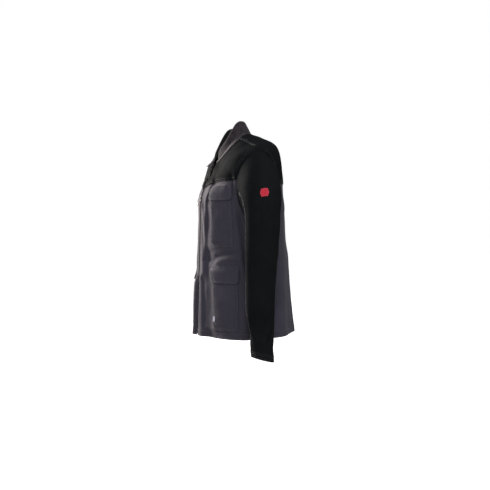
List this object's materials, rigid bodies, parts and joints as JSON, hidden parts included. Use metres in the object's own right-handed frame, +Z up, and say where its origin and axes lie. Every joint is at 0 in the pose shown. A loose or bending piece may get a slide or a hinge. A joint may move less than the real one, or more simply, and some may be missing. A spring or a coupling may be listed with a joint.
{
  "type": "welding jacket",
  "caption": "Hip-length flame-retardant welding jacket with black yoke and sleeves, stand-up collar, front zip, and flap pockets, shaped as worn.",
  "frame": {"origin": "the point inside the collar, under the top of the hanger loop, where a coat hook bears", "axes": "+Z up, +X to the wearer's left, +Y to the wearer's back"},
  "size_m": [0.6552, 0.3292, 0.795],
  "materials": {
    "body_cloth": "matte heavy twill, flame-retardant cotton, charcoal",
    "black_leather": "matte fine-grained black leather",
    "collar_cloth": "mottled brushed cloth, purple-grey",
    "lining": "smooth woven black lining",
    "zip_tape": "woven zip tape",
    "zip_metal": "darkened brass",
    "stud_metal": "darkened brass",
    "pale_tag": "woven tag, blank",
    "red_badge": "embroidered red badge"
  },
  "bodies": {
    "torso": {"back_panel": "body_cloth", "back_yoke": "black_leather", "collar_inner": "lining", "collar_outer": "collar_cloth", "hanger_loop": "lining", "left_chest_pocket": "body_cloth", "left_front_facing": "lining", "left_front_panel": "body_cloth", "left_front_yoke": "black_leather", "left_lower_pocket": "body_cloth", "left_sleeve_head": "black_leather", "left_zip_tape": "zip_tape", "left_zip_teeth": "zip_metal", "neck_label": "pale_tag", "pocket_studs": "stud_metal", "pocket_tag": "pale_tag", "right_chest_pocket": "body_cloth", "right_front_facing": "lining", "right_front_panel": "body_cloth", "right_front_yoke": "black_leather", "right_lower_pocket": "body_cloth", "right_sleeve_head": "black_leather", "right_zip_tape": "zip_tape", "right_zip_teeth": "zip_metal", "zip_bottom_box": "zip_metal", "zip_top_stops": "zip_metal"},
    "left_arm": {"left_sleeve_upper": "black_leather", "left_sleeve_under": "black_leather", "left_cuff": "black_leather", "sleeve_emblem": "red_badge"},
    "right_arm": {"right_sleeve_upper": "black_leather", "right_sleeve_under": "black_leather", "right_cuff": "black_leather"},
    "slider": {"zip_slider": "zip_metal"},
    "pull": {"zip_pull": "zip_metal"},
    "tab": {"throat_tab": "body_cloth"},
    "left_chest_flap": {"left_chest_flap": "body_cloth", "left_chest_flap_stud": "stud_metal"},
    "left_lower_flap": {"left_lower_flap": "body_cloth", "left_lower_flap_stud": "stud_metal"},
    "right_chest_flap": {"right_chest_flap": "body_cloth", "right_chest_flap_stud": "stud_metal"},
    "right_lower_flap": {"right_lower_flap": "body_cloth", "right_lower_flap_stud": "stud_metal"}
  },
  "joints": [
    {"name": "left_shoulder", "type": "hinge", "parent": "torso", "child": "left_arm", "pos_m": [0.255, -0.023, -0.234], "axis": [-0.866, 0, 0.5], "range_deg": [-20, 45]},
    {"name": "right_shoulder", "type": "hinge", "parent": "torso", "child": "right_arm", "pos_m": [-0.255, -0.023, -0.234], "axis": [-0.866, 0, -0.5], "range_deg": [-20, 45]},
    {"name": "zip_travel", "type": "slide", "parent": "torso", "child": "slider", "axis": [0, -0.0293, -0.9996], "range_m": [0, 0.44]},
    {"name": "pull_swing", "type": "hinge", "parent": "slider", "child": "pull", "pos_m": [0, -0.16086, -0.23637], "axis": [-1, 0, 0], "range_deg": [0, 165]},
    {"name": "throat_tab_fold", "type": "hinge", "parent": "torso", "child": "tab", "pos_m": [-0.027, -0.1058, -0.105], "axis": [1, 0, 0], "range_deg": [-70, 20]},
    {"name": "left_chest_flap_lift", "type": "hinge", "parent": "torso", "child": "left_chest_flap", "pos_m": [0.12164, -0.12723, -0.18319], "axis": [-0.9508, -0.3099, 0], "range_deg": [0, 120]},
    {"name": "right_chest_flap_lift", "type": "hinge", "parent": "torso", "child": "right_chest_flap", "pos_m": [-0.12164, -0.12723, -0.18319], "axis": [-0.9508, 0.3099, 0], "range_deg": [0, 120]},
    {"name": "left_lower_flap_lift", "type": "hinge", "parent": "torso", "child": "left_lower_flap", "pos_m": [0.14883, -0.12868, -0.46491], "axis": [-0.818, -0.5753, 0], "range_deg": [0, 120]},
    {"name": "right_lower_flap_lift", "type": "hinge", "parent": "torso", "child": "right_lower_flap", "pos_m": [-0.14883, -0.12868, -0.46491], "axis": [-0.818, 0.5753, 0], "range_deg": [0, 120]}
  ]
}
